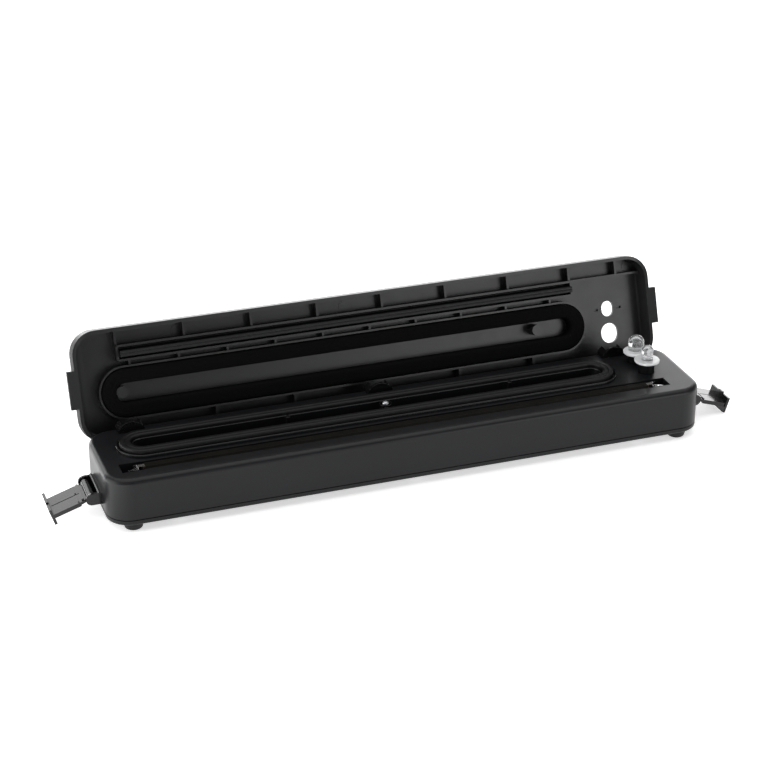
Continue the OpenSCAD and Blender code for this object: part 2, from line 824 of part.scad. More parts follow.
module lid_ribs() {
    front_wall_y = -lid_in_y - 0.5;
    for (k = [0 : 7])
        box(first_rib_x + k * front_rib_pitch - rib_t / 2,
            first_rib_x + k * front_rib_pitch + rib_t / 2,
            front_wall_y, long_rib_y, lid_floor_z - front_rib_h, lid_floor_z + eps);
    box(last_front_rib_x - rib_t / 2, last_front_rib_x + rib_t / 2,
        front_wall_y, long_rib_y, lid_floor_z - front_rib_h, lid_floor_z + eps);
    strip_end_x = first_rib_x + 7 * front_rib_pitch;
    box(first_rib_x, lid_in_x + 0.5, long_rib_y - rib_t / 2, long_rib_y + rib_t / 2,
        lid_floor_z - front_rib_h, lid_floor_z + eps);
    for (y = [long_rib_y, back_wall_y])
        box(first_rib_x, strip_end_x, y - rib_t / 2, y + rib_t / 2,
            lid_floor_z - strip_wall_h, lid_floor_z + eps);
    for (x = [first_rib_x, strip_end_x])
        box(x - rib_t / 2, x + rib_t / 2, long_rib_y, back_wall_y,
            lid_floor_z - strip_wall_h, lid_floor_z + eps);
    holder_y = oval_cy - holder_d / 2 - holder_t / 2;
    for (k = [0 : 9])
        box(first_short_x + k * short_rib_pitch - rib_t / 2,
            first_short_x + k * short_rib_pitch + rib_t / 2,
            back_wall_y, holder_y, lid_floor_z - front_rib_h, lid_floor_z + eps);
    holder_back_y = oval_cy + holder_d / 2 + holder_t / 2;
    for (x = rear_rib_xs)
        box(x - rear_rib_t / 2, x + rear_rib_t / 2, holder_back_y, lid_in_y + 0.5,
            lid_floor_z - rear_rib_h, lid_floor_z + eps);
}

module lid_shell_shut() {
    difference() {
        union() {
            difference() {
                translate([0, 0, rim_z]) slab(body_l, body_d, lid_h, corner_r, lid_edge_r);
                translate([0, 0, rim_z - 1])
                    slab(body_l - 2 * lid_wall, body_d - 2 * lid_wall,
                         lid_floor_z - rim_z + 1, corner_r - lid_wall, 1.5);
            }
            lid_ribs();
            at_oval() translate([0, 0, lid_floor_z - holder_h])
                oval_ring(holder_l + 2 * holder_t, holder_d + 2 * holder_t, holder_t,
                          holder_h + eps);
            for (x = post_xs)
                translate([x, post_y, lid_floor_z - post_h])
                    cylinder(h = post_h + eps, r = lid_post_r);
            for (x = ejector_xs)
                translate([x, ejector_y, lid_floor_z - 0.25]) cylinder(h = 0.25 + eps, r = 2.9);
            for (sx = [-1, 1])
                translate([sx * (half_l + tab_out / 2 - 0.5), 0, rim_z + tab_t / 2])
                    cube([tab_out + 1, tab_w, tab_t], center = true);
        }
        translate([button_x, front_button_y, lid_floor_z - 1]) rotate([0, 0, 90])
            oval(front_slot_l, front_slot_w, lid_wall + 2);
        translate([button_x, rear_button_y, lid_floor_z - 1]) rotate([0, 0, 90])
            oval(rear_slot_l, rear_slot_w, lid_wall + 2);
        for (sx = [-1, 1]) translate([button_x, front_button_y, lid_floor_z]) {
            translate([sx * 7.8, 0, 0.4]) cube([2.6, 1.6, 1.8], center = true);
            translate([sx * 5.5, 0, 0]) cube([4, 0.5, 0.8], center = true);
        }
        for (x = hinge_xs)
            box(x - notch_w / 2 - 0.6, x + notch_w / 2 + 0.6, lid_in_y - 2, half_d + 1,
                rim_z - 1, hood_top_z + 0.6);
    }
}

module lid_shell() {
    color(charcoal) lid_open() lid_shell_shut();
}

module lid_gasket() {
    color("#131416") lid_open() at_oval()
        translate([0, 0, foam_z]) oval_ring(foam_l, foam_d, foam_w, lid_floor_z - foam_z);
}

module press_strip() {
    strip_end_x = first_rib_x + 7 * front_rib_pitch;
    face_z = heater_top_z + tape_t + press_gap;
    color("#222326") lid_open() {
        box(first_rib_x + 1, strip_end_x - 1, strip_y - press_w / 2, strip_y + press_w / 2,
            face_z, lid_floor_z);
        box(first_rib_x + 1, strip_end_x - 1, strip_y - 3.1, strip_y + 3.1,
            lid_floor_z - 2.6, lid_floor_z);
    }
}

// Each arm runs from a knuckle on the pin up the inside of the lid's back wall
module hinge_arms() {
    color(black) lid_open() for (x = hinge_xs) difference() {
        union() {
            x_rod(x - arm_w / 2, hinge_y, hinge_z, knuckle_r, arm_w);
            box(x - arm_w / 2, x + arm_w / 2, lid_in_y - arm_t, lid_in_y,
                hinge_z, hinge_z + arm_rise);
            box(x - arm_w / 2 + 2, x + arm_w / 2 - 2, lid_in_y - arm_t - 1,
                lid_in_y - arm_t + eps, hinge_z + 4, hinge_z + arm_rise);
        }
        x_rod(x - arm_w / 2 - 1, hinge_y, hinge_z, hinge_pin_r + running_gap, arm_w + 2);
    }
}

// ---- Buttons -------------------------------------------------------------------------------

// A clear cap: a round flange and a rod with a domed tip
module button_cap(y, flange_z, rod_r) {
    color([0.86, 0.9, 0.92, 0.45]) translate([button_x, y, 0]) {
        translate([0, 0, flange_z]) cylinder(h = flange_t - 0.4, r = flange_r);
        translate([0, 0, flange_z + flange_t - 0.4 - eps])
            cylinder(h = 0.4, r1 = flange_r, r2 = flange_r - 0.6);
        translate([0, 0, flange_z + flange_t - eps])
            cylinder(h = button_top_z - rod_r - flange_z - flange_t, r = rod_r);
        translate([0, 0, button_top_z - rod_r - 2 * eps]) intersection() {
            sphere(rod_r);
            cylinder(h = rod_r + 1, r = rod_r + 1);
        }
    }
}

// The black plunger under a cap slides in the deck and rests on its switch
module button_plunger(y, flange_z) {
    color("#131416") translate([button_x, y, 0]) {
        translate([0, 0, switch_top_z + 3]) cylinder(h = flange_z - switch_top_z - 3, r = plunger_r);
        translate([0, 0, switch_top_z + button_travel + 0.05])
            cylinder(h = 3 - button_travel - 0.05 + eps, r = 2);
        translate([0, 0, deck_z - wall - 2]) cylinder(h = 1.5, r = plunger_r + 1.2);
    }
}

module button_cap_front() {
    button_cap(front_button_y, front_flange_z, front_rod_r);
}

module button_cap_rear() {
    button_cap(rear_button_y, rear_flange_z, rear_dome_r);
}

module button_plunger_front() {
    button_plunger(front_button_y, front_flange_z);
}

module button_plunger_rear() {
    button_plunger(rear_button_y, rear_flange_z);
}

main_housing();
bottom_cover();
rubber_feet();
cover_screws();
base_gasket();
air_nozzle();
bag_stop_pegs();
heater_bar();
heating_wire();
release_tape();
wire_clips();
pump_motor();
pump_head();
pump_clamp();
vacuum_hose();
power_board();
transformer();
capacitors();
relay();
control_board();
tact_switches();
status_leds();
board_screws();
power_inlet();
inlet_pins();
heater_leads();
hinge_brackets();
hinge_pins();
latch_bracket_left();
latch_bracket_right();
latch_pins();
lid_shell();
lid_gasket();
press_strip();
hinge_arms();
latch_lever_left();
latch_lever_right();
button_cap_front();
button_plunger_front();
button_cap_rear();
button_plunger_rear();
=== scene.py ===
import json
import math

import bmesh
import bpy
from mathutils import Matrix, Vector


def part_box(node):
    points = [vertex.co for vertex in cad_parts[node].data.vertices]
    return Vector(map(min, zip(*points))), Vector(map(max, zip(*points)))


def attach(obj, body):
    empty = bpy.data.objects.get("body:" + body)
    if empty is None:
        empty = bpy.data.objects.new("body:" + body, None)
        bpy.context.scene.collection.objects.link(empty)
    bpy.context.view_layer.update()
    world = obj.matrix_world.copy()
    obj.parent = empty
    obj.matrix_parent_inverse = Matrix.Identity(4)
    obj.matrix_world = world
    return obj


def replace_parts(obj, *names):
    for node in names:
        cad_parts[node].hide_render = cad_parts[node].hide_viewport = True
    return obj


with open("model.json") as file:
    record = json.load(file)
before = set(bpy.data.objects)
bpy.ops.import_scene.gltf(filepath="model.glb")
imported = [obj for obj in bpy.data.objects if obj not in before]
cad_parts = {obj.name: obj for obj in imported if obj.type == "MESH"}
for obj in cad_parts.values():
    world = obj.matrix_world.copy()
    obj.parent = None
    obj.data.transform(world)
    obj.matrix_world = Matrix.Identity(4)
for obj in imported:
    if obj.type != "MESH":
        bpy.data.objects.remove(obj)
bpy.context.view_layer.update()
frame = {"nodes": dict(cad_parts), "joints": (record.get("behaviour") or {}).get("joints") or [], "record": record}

MM = 0.001
cad = frame["nodes"]


# ---- Node materials ------------------------------------------------------------------------------

class Shader:
    """A node material under construction: a Principled shader fed by textures in object space."""

    def __init__(self, name, **sockets):
        self.material = bpy.data.materials.new(name)
        self.material.use_nodes = True
        self.tree = self.material.node_tree
        self.tree.nodes.clear()
        output = self.tree.nodes.new("ShaderNodeOutputMaterial")
        self.bsdf = self.tree.nodes.new("ShaderNodeBsdfPrincipled")
        self.tree.links.new(self.bsdf.outputs[0], output.inputs["Surface"])
        self.place = self.node("ShaderNodeTexCoord").outputs["Object"]
        self.set(**sockets)

    def set(self, **sockets):
        """Sets the shader's sockets by name, _ for a space, from a number, a colour or a socket."""
        for key, value in sockets.items():
            self.feed(self.bsdf.inputs[key.replace("_", " ")], value)

    def feed(self, socket, value):
        """Links a socket's value, or sets a number or colour on the socket itself."""
        if isinstance(value, bpy.types.NodeSocket):
            self.tree.links.new(value, socket)
        elif isinstance(value, tuple) and len(value) == 3 and socket.type == "RGBA":
            socket.default_value = (*value, 1)
        else:
            socket.default_value = value

    def node(self, kind, inputs=None, **settings):
        """A new node with its settings, and its inputs fed by name or number."""
        made = self.tree.nodes.new(kind)
        for key, value in settings.items():
            setattr(made, key, value)
        for key, value in (inputs or {}).items():
            self.feed(made.inputs[key], value)
        return made

    def stretched(self, stretch):
        """Object space scaled by stretch along X, Y and Z."""
        return self.node("ShaderNodeMapping", {"Vector": self.place, "Scale": stretch}).outputs[0]

    def noise(self, size, detail=2.0, stretch=None):
        """Noise from 0 to 1 with patches about size across."""
        place = self.stretched(stretch) if stretch else self.place
        inputs = {"Vector": place, "Scale": 1 / size, "Detail": detail}
        return self.node("ShaderNodeTexNoise", inputs).outputs["Fac"]

    def cells(self, size):
        """The distance to the nearest of scattered points about size apart."""
        inputs = {"Vector": self.place, "Scale": 1 / size}
        return self.node("ShaderNodeTexVoronoi", inputs).outputs["Distance"]

    def along(self, axis):
        """How far the point lies along X, Y or Z of object space."""
        return self.node("ShaderNodeSeparateXYZ", {0: self.place}).outputs[axis]

    def waves(self, pitch, axis, profile="SIN", distortion=0.0):
        """Parallel bands across one axis, pitch apart."""
        scale = math.pi / (10 * pitch)
        inputs = {"Vector": self.place, "Scale": scale, "Distortion": distortion}
        made = self.node("ShaderNodeTexWave", inputs, bands_direction=axis, wave_profile=profile)
        return made.outputs["Fac"]

    def spread(self, value, low, high, start=0.3, stop=0.7):
        """value, where it runs from start to stop, spread from low to high."""
        inputs = {"Value": value, "From Min": start, "From Max": stop, "To Min": low, "To Max": high}
        return self.node("ShaderNodeMapRange", inputs).outputs[0]

    def maths(self, operation, a, b=0.0):
        return self.node("ShaderNodeMath", {0: a, 1: b}, operation=operation).outputs[0]

    def between(self, factor, a, b):
        """Number a turning into number b as factor goes from 0 to 1."""
        return self.node("ShaderNodeMix", {0: factor, 2: a, 3: b}).outputs[0]

    def mix(self, factor, a, b):
        """Colour a turning into colour b as factor goes from 0 to 1."""
        made = self.node("ShaderNodeMix", data_type="RGBA")
        sockets = {socket.name: socket for socket in made.inputs if socket.enabled}
        for key, value in (("Factor", factor), ("A", a), ("B", b)):
            self.feed(sockets[key], value)
        return next(socket for socket in made.outputs if socket.enabled)

    def bump(self, height, depth, under=None):
        """A normal raised by height, from 0 to 1, to depth; under is the bump beneath it."""
        inputs = {"Height": height, "Distance": depth, "Strength": 1}
        if under:
            inputs["Normal"] = under
        return self.node("ShaderNodeBump", inputs).outputs[0]


def tint(colour, factor):
    """A colour made darker or lighter by a factor."""
    return tuple(channel * factor for channel in colour)


# Roughness of a polished deck and of a matte end wall
POLISHED, MATTE = 0.2, 0.8


def moulded(name, colour, roughness, grain=0.25 * MM, depth=0.006 * MM, specular=0.5, coat=0.0,
            polished_above=None, matte_beyond=None):
    """Injection-moulded plastic: an eroded grain, a faint flow of tone, and handling marks.

    It can be polished above a height, and matte on the end walls beyond a distance along X.
    """
    shader = Shader(name, Specular_IOR_Level=specular, Coat_Weight=coat, Coat_Roughness=0.08)
    flow = shader.noise(38 * MM, 3, (0.35, 1, 1))
    fine = shader.noise(grain, 1)
    gloss = shader.spread(shader.noise(9 * MM, 4), roughness - 0.02, roughness + 0.02)
    if polished_above:
        polish = shader.spread(shader.along("Z"), 0, 1, polished_above, polished_above + 0.4 * MM)
        gloss = shader.between(polish, gloss, POLISHED)
    if matte_beyond:
        reach = shader.maths("ABSOLUTE", shader.along("X"))
        matte = shader.spread(reach, 0, 1, matte_beyond, matte_beyond + 6 * MM)
        gloss = shader.between(matte, gloss, MATTE)
    shader.set(
        Base_Color=shader.mix(shader.spread(flow, 0, 1), tint(colour, 0.86), tint(colour, 1.16)),
        Roughness=gloss,
        Normal=shader.bump(fine, depth, shader.bump(shader.noise(2.6 * MM, 1), depth)),
    )
    return shader.material


def rubber(name, colour, roughness, dust=0.5, grain=0.18 * MM, depth=0.01 * MM):
    """Moulded rubber: matte, with a bloom of dust in patches and a fine skin."""
    shader = Shader(name, Specular_IOR_Level=0.22)
    bloom = shader.spread(shader.noise(5 * MM, 5), 0, dust, 0.45, 0.85)
    shader.set(
        Base_Color=shader.mix(bloom, colour, tint(colour, 1.9)),
        Roughness=shader.spread(shader.noise(3 * MM, 3), roughness - 0.06, roughness + 0.06),
        Normal=shader.bump(shader.noise(grain, 2), depth),
    )
    return shader.material


def foam(name, colour):
    """Closed-cell foam: fine open pores on its skin, painted darker inside as shade, and no gloss."""
    shader = Shader(name, Specular_IOR_Level=0.06, Roughness=0.95)
    pores = shader.cells(0.42 * MM)
    # Painted shade: each pore is coloured darker towards its middle, where it sinks in
    pore_shade = shader.spread(pores, 0, 1, 0.1, 0.6)
    shader.set(
        Base_Color=shader.mix(pore_shade, tint(colour, 0.6), tint(colour, 1.25)),
        Normal=shader.bump(pores, 0.05 * MM, shader.bump(shader.noise(3.5 * MM, 3), 0.03 * MM)),
    )
    return shader.material


def metal(name, colour, roughness, brushed_along=(0.06, 1, 1), depth=0.004 * MM):
    """Sheet or turned metal, brushed or rolled along one axis, with faint stains."""
    shader = Shader(name, Metallic=1.0)
    lines = shader.noise(0.12 * MM, 3, brushed_along)
    stains = shader.noise(4 * MM, 4)
    shader.set(
        Base_Color=shader.mix(shader.spread(stains, 0, 1), tint(colour, 0.8), colour),
        Roughness=shader.spread(lines, roughness * 0.7, roughness * 1.35),
        Normal=shader.bump(lines, depth),
    )
    return shader.material


def clear_plastic(name, flange_top):
    """Clear moulded acrylic, with a few scuffs on its skin, frosted below the flange's top."""
    shader = Shader(name, Base_Color=(0.95, 0.96, 0.97), IOR=1.49)
    frosted, clear = 0.35, 0.88
    edge = (flange_top - 0.3 * MM, flange_top + 0.5 * MM)
    shader.set(
        Transmission_Weight=shader.spread(shader.along("Z"), frosted, clear, *edge),
        Roughness=shader.spread(shader.noise(1.6 * MM, 4), 0.02, 0.10, 0.5, 0.8),
        Normal=shader.bump(shader.noise(3.2 * MM, 1), 0.006 * MM),
    )
    return shader.material


def woven_tape(name):
    """Release tape: glass cloth under a brown-black resin skin."""
    shader = Shader(name, Specular_IOR_Level=0.08)
    pitch = 0.55 * MM
    dark, warm = (0.0022, 0.0020, 0.0016), (0.0054, 0.0049, 0.0031)
    weave = shader.maths("MULTIPLY", shader.waves(pitch, "X"), shader.waves(pitch, "Y"))
    tone = shader.mix(shader.spread(shader.noise(14 * MM, 3), 0, 1), dark, warm)
    shader.set(
        Base_Color=shader.mix(weave, tone, tint(warm, 1.2)),
        Roughness=shader.spread(shader.noise(2 * MM, 3), 0.38, 0.52),
        Normal=shader.bump(weave, 0.02 * MM, shader.bump(shader.noise(5 * MM, 2), 0.06 * MM)),
    )
    return shader.material


def circuit_board(name):
    """Solder resist over copper: broad tracks on a square grid, and dull pads."""
    shader = Shader(name, Specular_IOR_Level=0.5)
    across = shader.waves(3.1 * MM, "X", "TRI", 2.0)
    along = shader.waves(2.3 * MM, "Y", "TRI", 3.0)
    track = shader.maths("GREATER_THAN", shader.maths("MAXIMUM", across, along), 0.72)
    laminate, copper = (0.008, 0.075, 0.030), (0.022, 0.150, 0.055)
    shader.set(
        Base_Color=shader.mix(track, laminate, copper),
        Roughness=shader.spread(shader.noise(1.5 * MM, 2), 0.28, 0.42),
        Normal=shader.bump(track, 0.03 * MM),
    )
    return shader.material


def wound_tape(name):
    """Polyester tape wound over a coil: overlapping turns with a soft gloss."""
    shader = Shader(name, Specular_IOR_Level=0.5, Coat_Weight=0.4, Coat_Roughness=0.12)
    turns = shader.waves(2.6 * MM, "Z", "SAW", 0.4)
    amber = (0.42, 0.24, 0.035)
    shader.set(
        Base_Color=shader.mix(turns, tint(amber, 0.7), amber),
        Roughness=shader.spread(shader.noise(2 * MM, 3), 0.25, 0.4),
        Normal=shader.bump(turns, 0.06 * MM),
    )
    return shader.material


def translucent(name, colour, roughness, through):
    """Soft translucent tube or lens, lightly clouded; through is the share of light let through."""
    shader = Shader(name, Transmission_Weight=through, IOR=1.42, Subsurface_Weight=0.3,
                    Subsurface_Radius=(2 * MM, 2 * MM, 2 * MM))
    cloud = shader.noise(3 * MM, 3)
    shader.set(
        Base_Color=shader.mix(shader.spread(cloud, 0, 1), tint(colour, 0.85), colour),
        Roughness=shader.spread(cloud, roughness - 0.08, roughness + 0.08),
        Normal=shader.bump(shader.noise(1.2 * MM, 2), 0.01 * MM),
    )
    return shader.material


DECK_Z = 32.5 * MM
BODY_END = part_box("main_housing")[1].x
CAP_FLANGE = 1.3 * MM
CAP_FLANGE_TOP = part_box("button_cap_front")[0].z + CAP_FLANGE

materials = {
    "housing_plastic": moulded("satin_housing", (0.0066, 0.0070, 0.0078), 0.33, specular=0.24,
                               polished_above=DECK_Z + 0.3 * MM),
    "lid_plastic": moulded("satin_lid", (0.0085, 0.0087, 0.0091), 0.33, grain=0.2 * MM,
                           depth=0.004 * MM, specular=0.42, matte_beyond=BODY_END - 8 * MM),
    "gloss_black_plastic": moulded("gloss_black", (0.006, 0.006, 0.0065), 0.17, grain=0.6 * MM,
                                   depth=0.003 * MM, specular=0.34),
    "plunger_plastic": moulded("plunger_black", (0.005, 0.005, 0.0055), 0.42, grain=0.5 * MM,
                               depth=0.003 * MM, specular=0.15),
    "foot_rubber": rubber("foot_rubber", (0.010, 0.010, 0.0105), 0.52),
    "gasket_rubber": rubber("gasket_rubber", (0.0036, 0.0036, 0.0039), 0.42, dust=0.3),
    "foam_rubber": foam("foam_rubber", (0.0030, 0.0030, 0.0032)),
    "press_rubber": rubber("press_rubber", (0.0095, 0.0095, 0.0100), 0.42, dust=0.3),
    "nozzle_plastic": moulded("polished_nozzle", (0.004, 0.004, 0.0045), 0.25, grain=0.8 * MM,
                              depth=0.002 * MM, specular=0.15),
    "heater_insulator": moulded("laminate_bar", (0.022, 0.017, 0.012), 0.55, grain=0.3 * MM,
                                depth=0.02 * MM),
    "heating_alloy": metal("heating_ribbon", (0.50, 0.48, 0.45), 0.28),
    "release_tape": woven_tape("release_tape"),
    "clip_steel": metal("spring_steel", (0.62, 0.62, 0.63), 0.2, brushed_along=(1, 1, 0.06)),
    "zinc_steel": metal("zinc_plate", (0.60, 0.61, 0.62), 0.26, brushed_along=(1, 0.3, 1)),
    "clear_plastic": clear_plastic("clear_acrylic", CAP_FLANGE_TOP),
    "pump_plastic": moulded("pump_body", (0.055, 0.055, 0.06), 0.45),
    "clear_silicone": translucent("silicone_tube", (0.75, 0.75, 0.72), 0.35, through=0.6),
    "board_green": circuit_board("circuit_board"),
    "transformer_tape": wound_tape("coil_tape"),
    "capacitor_sleeve": moulded("capacitor_sleeve", (0.012, 0.018, 0.075), 0.22, grain=1.0 * MM,
                                depth=0.01 * MM, coat=0.4),
    "relay_plastic": moulded("relay_case", (0.018, 0.09, 0.26), 0.3),
    "switch_plastic": moulded("switch_case", (0.014, 0.014, 0.014), 0.35),
    "led_lens": translucent("lamp_lens", (0.80, 0.92, 0.86), 0.2, through=0.8),
    "lead_insulation": rubber("lead_insulation", (0.30, 0.022, 0.016), 0.4, dust=0.2),
}


def dress(piece, slot):
    """Gives a piece the material of a slot of the record."""
    piece.data.materials.clear()
    piece.data.materials.append(materials[slot])
    return piece


# ---- Mesh building -------------------------------------------------------------------------------

def arc(centre, radius, start, stop, steps):
    """Points on an arc in a plane, angles in degrees."""
    angles = [math.radians(start + (stop - start) * k / steps) for k in range(steps + 1)]
    return [(centre[0] + radius * math.cos(a), centre[1] + radius * math.sin(a)) for a in angles]


def rounded(corners, steps=4):
    """An outline of (x, y, radius) corners with each corner rounded to its radius."""
    outline = []
    count = len(corners)
    for k, (x, y, radius) in enumerate(corners):
        here = Vector((x, y))
        if radius <= 0:
            outline.append((x, y))
            continue
        before = (Vector(corners[k - 1][:2]) - here).normalized()
        after = (Vector(corners[(k + 1) % count][:2]) - here).normalized()
        half = before.angle(after) / 2
        reach = radius / math.tan(half)
        centre = here + (before + after).normalized() * radius / math.sin(half)
        first, last = here + before * reach - centre, here + after * reach - centre
        turn = first.angle_signed(last)
        for step in range(steps + 1):
            point = first.copy()
            point.rotate(Matrix.Rotation(-turn * step / steps, 2))
            outline.append(tuple(centre + point))
    return outline


def skin(name, rings, closed, caps=True):
    """A mesh over rings of equally many points; closed joins the last ring to the first."""
    shape = bmesh.new()
    layers = [[shape.verts.new(point) for point in ring] for ring in rings]
    count = len(layers)
    for k in range(count if closed else count - 1):
        a, b = layers[k], layers[(k + 1) % count]
        for i in range(len(a)):
            j = (i + 1) % len(a)
            shape.faces.new((a[i], a[j], b[j], b[i]))
    if caps and not closed:
        shape.faces.new(reversed(layers[0]))
        shape.faces.new(layers[-1])
    bmesh.ops.recalc_face_normals(shape, faces=shape.faces)
    mesh = bpy.data.meshes.new(name)
    shape.to_mesh(mesh)
    shape.free()
    piece = bpy.data.objects.new(name, mesh)
    bpy.context.scene.collection.objects.link(piece)
    smooth(piece)
    return piece


def smooth(piece, angle=35):
    """Shades a piece smooth, apart from edges sharper than the angle in degrees."""
    piece.data.shade_smooth()
    piece.data.set_sharp_from_angle(angle=math.radians(angle))


def turned(name, outline, centre, steps=72):
    """A piece turned round the vertical through centre; outline is closed, of (radius, height)."""
    rings = []
    for k in range(steps):
        a = 2 * math.pi * k / steps
        rings.append([
            (centre[0] + max(r, 1e-6) * math.cos(a), centre[1] + max(r, 1e-6) * math.sin(a), z)
            for r, z in outline
        ])
    piece = skin(name, rings, closed=True)
    return merged(piece)


def merged(piece, distance=4e-6):
    """Joins the points that lie on each other, as those on a turned piece's axis do."""
    shape = bmesh.new()
    shape.from_mesh(piece.data)
    bmesh.ops.remove_doubles(shape, verts=shape.verts, dist=distance)
    bmesh.ops.dissolve_degenerate(shape, edges=shape.edges, dist=distance)
    bmesh.ops.recalc_face_normals(shape, faces=shape.faces)
    shape.to_mesh(piece.data)
    shape.free()
    smooth(piece)
    return piece


def oval_stations(length, depth, arc_steps, straight_steps):
    """(x, y, nx, ny) round an oval's middle line, with its outward normal."""
    radius, half = depth / 2, (length - depth) / 2
    stations = []
    for side in (1, -1):
        start = -90 if side > 0 else 90
        for k in range(arc_steps):
            a = math.radians(start + 180 * k / arc_steps)
            stations.append((side * half + radius * math.cos(a), radius * math.sin(a),
                             math.cos(a), math.sin(a)))
        for k in range(straight_steps):
            x = side * half - side * 2 * half * k / straight_steps
            stations.append((x, side * radius, 0, side))
    return stations


def oval_ring(name, centre, length, depth, outline, transform=None, straight_steps=24):
    """A ring swept round an oval; outline is of (outward, height) about the ring's middle line."""
    rings = []
    for x, y, nx, ny in oval_stations(length, depth, 28, straight_steps):
        ring = [Vector((centre[0] + x + nx * out, centre[1] + y + ny * out, z)) for out, z in outline]
        rings.append([transform @ point for point in ring] if transform else ring)
    return skin(name, rings, closed=True)


def long_bar(name, x0, x1, outline, transform=None, steps=60):
    """A bar along X with the outline, of (y, z), as its section."""
    rings = []
    for k in range(steps + 1):
        x = x0 + (x1 - x0) * k / steps
        ring = [Vector((x, y, z)) for y, z in outline]
        rings.append([transform @ point for point in ring] if transform else ring)
    return skin(name, rings, closed=False)


def soften(node, width, segments=2, angle=40):
    """Eases a CAD node's sharp edges with modifiers, which leave its mesh as it is."""
    piece = cad[node]
    weld = piece.modifiers.new("weld", "WELD")
    weld.merge_threshold = 2e-6
    bevel = piece.modifiers.new("eased_edges", "BEVEL")
    bevel.width = width
    bevel.segments = segments
    bevel.limit_method = "ANGLE"
    bevel.angle_limit = math.radians(angle)
    bevel.use_clamp_overlap = True
    even = piece.modifiers.new("even_normals", "WEIGHTED_NORMAL")
    even.mode = "FACE_AREA"
    even.weight = 100
    return piece


# ---- Places taken from the frame -----------------------------------------------------------------

# The lid stands open at rest, and shuts at its joint's upper limit
hinge = next(joint for joint in frame["joints"] if joint["name"] == "lid_hinge")
hinge_place = Vector(hinge["pos_m"])
lid_open = -math.radians(hinge["range_deg"][1])
lid_turn = (
    Matrix.Translation(hinge_place)
    @ Matrix.Rotation(lid_open, 4, "X")
    @ Matrix.Translation(-hinge_place)
)


def shut_box(node):
    """A lid node's box with the lid shut."""
    back = lid_turn.inverted()
    corners = [back @ vertex.co for vertex in cad[node].data.vertices]
    lowest = Vector(min(c[k] for c in corners) for k in range(3))
    highest = Vector(max(c[k] for c in corners) for k in range(3))
    return lowest, highest


def middle_of(low, high):
    """The middle of a box in plan."""
    return (low.x + high.x) / 2, (low.y + high.y) / 2


# ---- Every CAD node gets the material of its slot ------------------------------------------------

for part in frame["record"]["subparts"]:
    dress(cad[part["node"]], part["material_slot"])


# ---- Pieces that stand for plain CAD solids ------------------------------------------------------

def gasket_ring():
    """The rubber ring on the deck, with rounded shoulders and a shallow groove along its top."""
    low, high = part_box("base_gasket")
    half, shoulder = 3.25 * MM, 1.0 * MM
    groove, groove_depth = 0.5 * MM, 0.35 * MM
    outline = rounded([
        (-half, low.z, 0), (half, low.z, 0), (half, high.z, shoulder),
        (groove, high.z, 0.2 * MM), (0, high.z - groove_depth, 0.3 * MM), (-groove, high.z, 0.2 * MM),
        (-half, high.z, shoulder),
    ])
    length, depth = high.x - low.x - 2 * half, high.y - low.y - 2 * half
    piece = oval_ring("gasket_ring", middle_of(low, high), length, depth, outline)
    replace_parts(dress(piece, "gasket_rubber"), "base_gasket")
    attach(piece, "base")


def foam_ring():
    """The lid's foam ring, a little crowned on its sealing face."""
    low, high = shut_box("lid_gasket")
    half, shoulder, crown = 4.2 * MM, 1.1 * MM, 0.35 * MM
    outline = rounded([
        (-half, high.z, 0), (half, high.z, 0), (half, low.z + crown, shoulder),
        (half / 2, low.z, 2 * MM), (-half / 2, low.z, 2 * MM), (-half, low.z + crown, shoulder),
    ])
    length, depth = high.x - low.x - 2 * half, high.y - low.y - 2 * half
    piece = oval_ring("foam_ring", middle_of(low, high), length, depth, outline, lid_turn, 48)
    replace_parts(dress(piece, "foam_rubber"), "lid_gasket")
    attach(piece, "lid")


def press_bar():
    """The silicone bar that presses the bag on the heater: a wide foot and a grooved nose."""
    low, high = shut_box("press_strip")
    middle = (low.y + high.y) / 2
    nose, foot = 1.8 * MM, (high.y - low.y) / 2
    groove = 0.4 * MM
    foot_z = high.z - 2.6 * MM
    outline = rounded([
        (middle - foot, high.z, 0), (middle - foot, foot_z, 0.4 * MM),
        (middle - nose, foot_z, 0.5 * MM), (middle - nose, low.z, 0.5 * MM),
        (middle - groove, low.z, 0.3 * MM), (middle, low.z + groove, 0.2 * MM),
        (middle + groove, low.z, 0.3 * MM), (middle + nose, low.z, 0.5 * MM),
        (middle + nose, foot_z, 0.5 * MM), (middle + foot, foot_z, 0.4 * MM),
        (middle + foot, high.z, 0),
    ], 3)
    piece = long_bar("press_bar", low.x, high.x, outline, lid_turn)
    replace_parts(dress(piece, "press_rubber"), "press_strip")
    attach(piece, "lid")


def rubber_feet():
    """Four turned feet, each with a rolled lower edge."""
    low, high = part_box("rubber_feet")
    foot_r, foot_top = 5.9 * MM, 4.5 * MM
    outline = rounded([
        (0, low.z, 0), (foot_r - 1.0 * MM, low.z, 1.3 * MM),
        (foot_r, foot_top - 0.5 * MM, 0.5 * MM), (foot_r - 0.3 * MM, foot_top, 0), (0, foot_top, 0),
    ], 6)
    for row, y in (("front", low.y + foot_r), ("back", high.y - foot_r)):
        for side, x in (("left", low.x + foot_r), ("right", high.x - foot_r)):
            piece = turned(f"foot_{row}_{side}", outline, (x, y), 56)
            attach(dress(piece, "foot_rubber"), "base")
            if (row, side) == ("front", "left"):
                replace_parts(piece, "rubber_feet")


